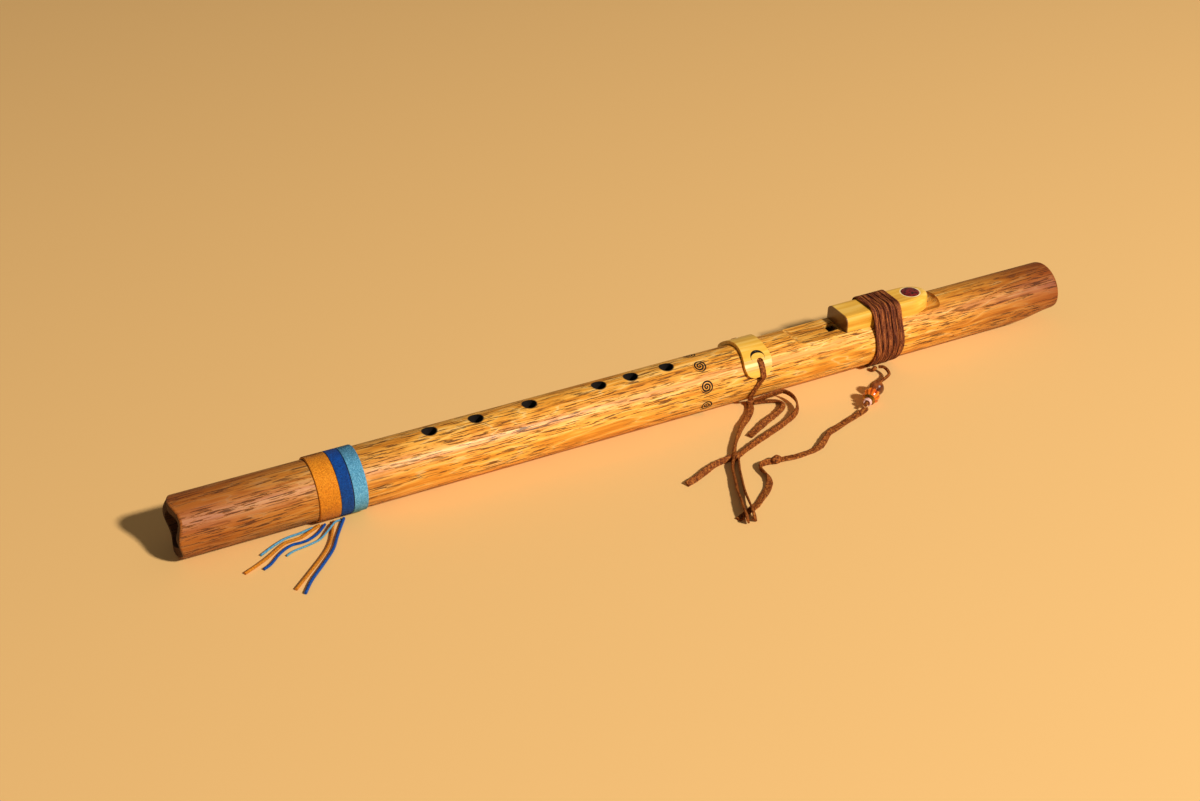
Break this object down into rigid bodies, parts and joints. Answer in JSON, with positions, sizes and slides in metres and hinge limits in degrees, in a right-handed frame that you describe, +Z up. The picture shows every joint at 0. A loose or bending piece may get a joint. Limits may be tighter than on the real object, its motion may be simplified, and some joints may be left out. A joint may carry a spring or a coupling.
{
  "type": "native american flute",
  "caption": "Wooden native american style flute with sliding block, leather laces, wooden saddle, beads and wound thread bands.",
  "frame": {"origin": "on the floor under the middle of the barrel", "axes": "+X toward the mouth end, +Z up, finger holes up"},
  "size_m": [0.571, 0.1341, 0.0429],
  "materials": {
    "oak": "oiled oak, open pores",
    "pale_wood": "oiled, glossy",
    "stone": "polished stone",
    "leather": "rough",
    "bead_wood": "glossy",
    "bead_melon": "glossy",
    "bead_gold": "antique",
    "bead_pink": "glossy",
    "thread_orange": "fuzzy thread",
    "thread_blue": "fuzzy thread",
    "thread_light_blue": "fuzzy thread"
  },
  "bodies": {
    "flute": {"body_upper_half": "oak", "body_lower_half": "oak", "saddle": "pale_wood", "band_orange": "thread_orange", "band_blue": "thread_blue", "band_light_blue": "thread_light_blue", "orange_tail_left": "thread_orange", "orange_tail_right": "thread_orange", "blue_tail_left": "thread_blue", "blue_tail_right": "thread_blue", "light_blue_tail_thin": "thread_light_blue", "light_blue_tail_left": "thread_light_blue", "block_lacing": "leather", "lacing_knot": "leather", "bead_lace": "leather", "lace_tail": "leather", "lace_tail_knot": "leather", "lace_tail_end": "leather", "saddle_thong": "leather", "saddle_knot": "leather", "thong_strand_a": "leather", "thong_strand_b": "leather", "thong_strand_c": "leather", "thong_knot": "leather", "thong_tail_left": "leather", "thong_tail_dark": "leather", "thong_tail_pale": "leather"},
    "block": {"block": "pale_wood", "block_stone": "stone"},
    "bead_wood": {"bead_wood": "bead_wood"},
    "bead_melon": {"bead_melon": "bead_melon"},
    "bead_cap": {"bead_cap": "bead_gold"},
    "bead_small": {"bead_small": "bead_pink"}
  },
  "joints": [
    {"name": "block_slide", "type": "slide", "parent": "flute", "child": "block", "axis": [1, 0, 0], "range_m": [-0.004, 0.002]},
    {"name": "bead_wood_spin", "type": "hinge", "parent": "flute", "child": "bead_wood", "pos_m": [0.1324, -0.0365, 0.00515], "axis": [-0.7915, -0.6112, 0], "continuous": true},
    {"name": "bead_melon_spin", "type": "hinge", "parent": "flute", "child": "bead_melon", "pos_m": [0.12476, -0.0424, 0.00515], "axis": [-0.7915, -0.6112, 0], "continuous": true},
    {"name": "bead_cap_spin", "type": "hinge", "parent": "flute", "child": "bead_cap", "pos_m": [0.12452, -0.04258, 0.00515], "axis": [-0.7915, -0.6112, 0], "continuous": true},
    {"name": "bead_small_spin", "type": "hinge", "parent": "flute", "child": "bead_small", "pos_m": [0.11872, -0.04706, 0.00515], "axis": [-0.7915, -0.6112, 0], "continuous": true}
  ]
}
